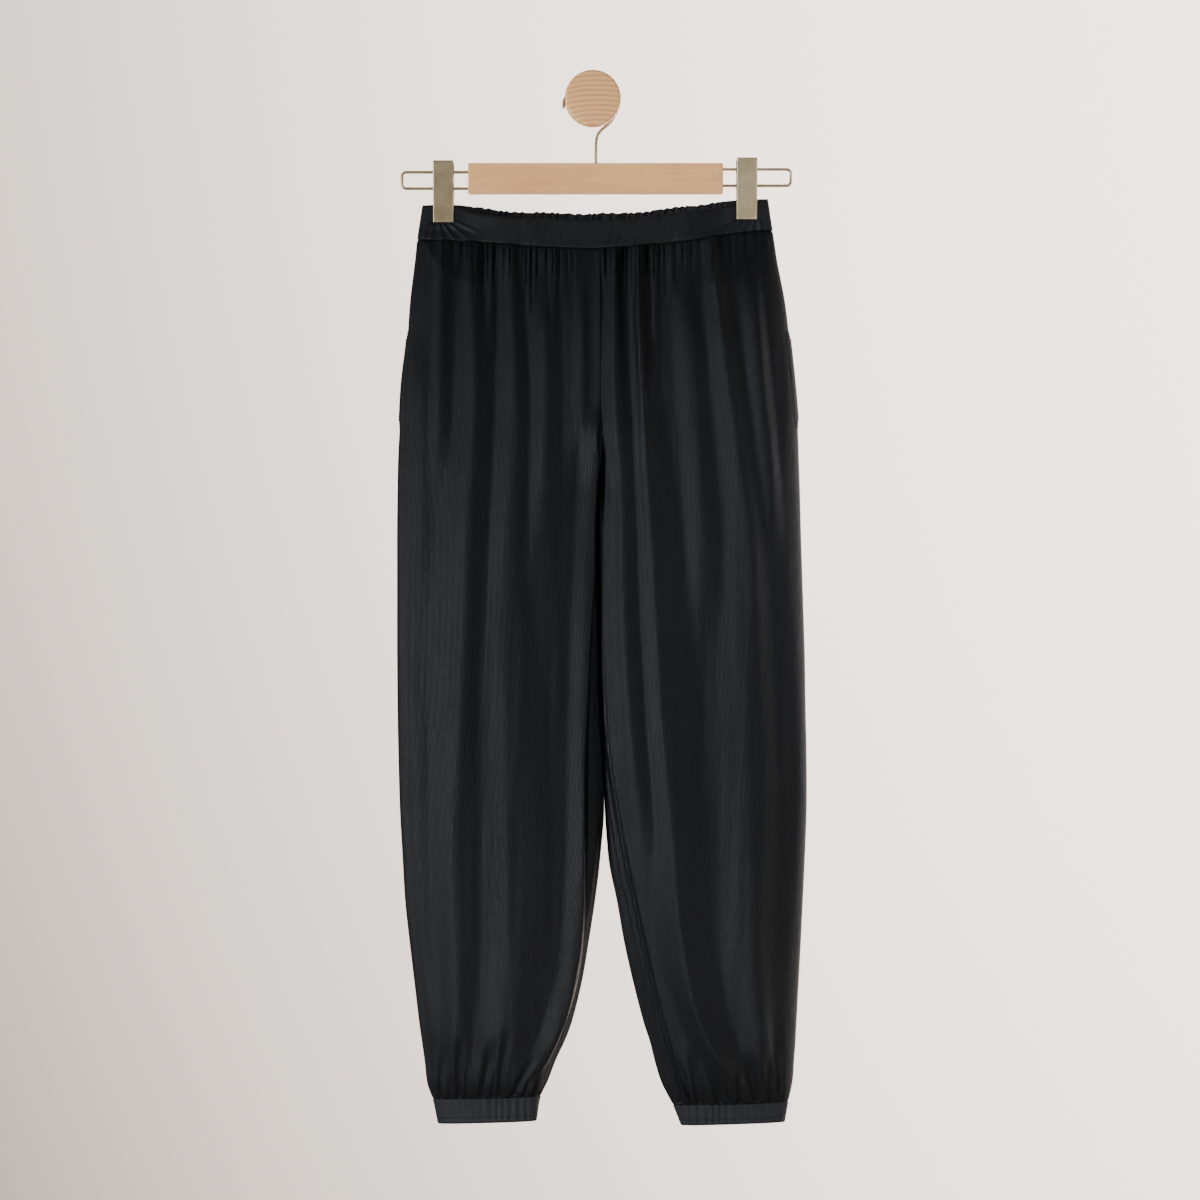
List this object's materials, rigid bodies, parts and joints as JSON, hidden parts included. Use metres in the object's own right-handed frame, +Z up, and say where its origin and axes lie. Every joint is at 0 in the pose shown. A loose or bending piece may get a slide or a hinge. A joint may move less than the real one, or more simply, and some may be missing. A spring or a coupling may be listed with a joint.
{
  "type": "joggers on a clip hanger with a wall peg",
  "caption": "Plain cuffed joggers hung by the waistband from a wooden clip hanger on a round wooden wall peg.",
  "frame": {"origin": "centre of the peg's back face, on the wall", "axes": "+Z up; +Y into the wall; +X to the right of someone who faces the wall, which is the wearer's left side"},
  "size_m": [0.4263, 0.0594, 1.0932],
  "materials": {
    "jersey": "matt charcoal viscose jersey",
    "waistband_jersey": "matt charcoal jersey over elastic",
    "cuff_jersey": "matt charcoal jersey over elastic",
    "bar_beech": "satin lacquered beech",
    "peg_beech": "satin oiled beech",
    "brass_wire": "pale brass plated wire",
    "clip_brass": "pale antique brass plated pressing",
    "spring_steel": "plated coil spring"
  },
  "bodies": {
    "root": {"front_right": "jersey", "front_left": "jersey", "back_right": "jersey", "back_left": "jersey", "waistband_front": "waistband_jersey", "waistband_back": "waistband_jersey", "cuff_right": "cuff_jersey", "cuff_left": "cuff_jersey", "hanger_bar": "bar_beech", "wall_peg": "peg_beech", "hanger_wire_right": "brass_wire", "hanger_wire_left": "brass_wire", "hanger_hook": "brass_wire", "clip_right_front": "clip_brass", "clip_right_back": "clip_brass", "clip_left_front": "clip_brass", "clip_left_back": "clip_brass", "clip_right_spring": "spring_steel", "clip_left_spring": "spring_steel"}
  },
  "joints": []
}
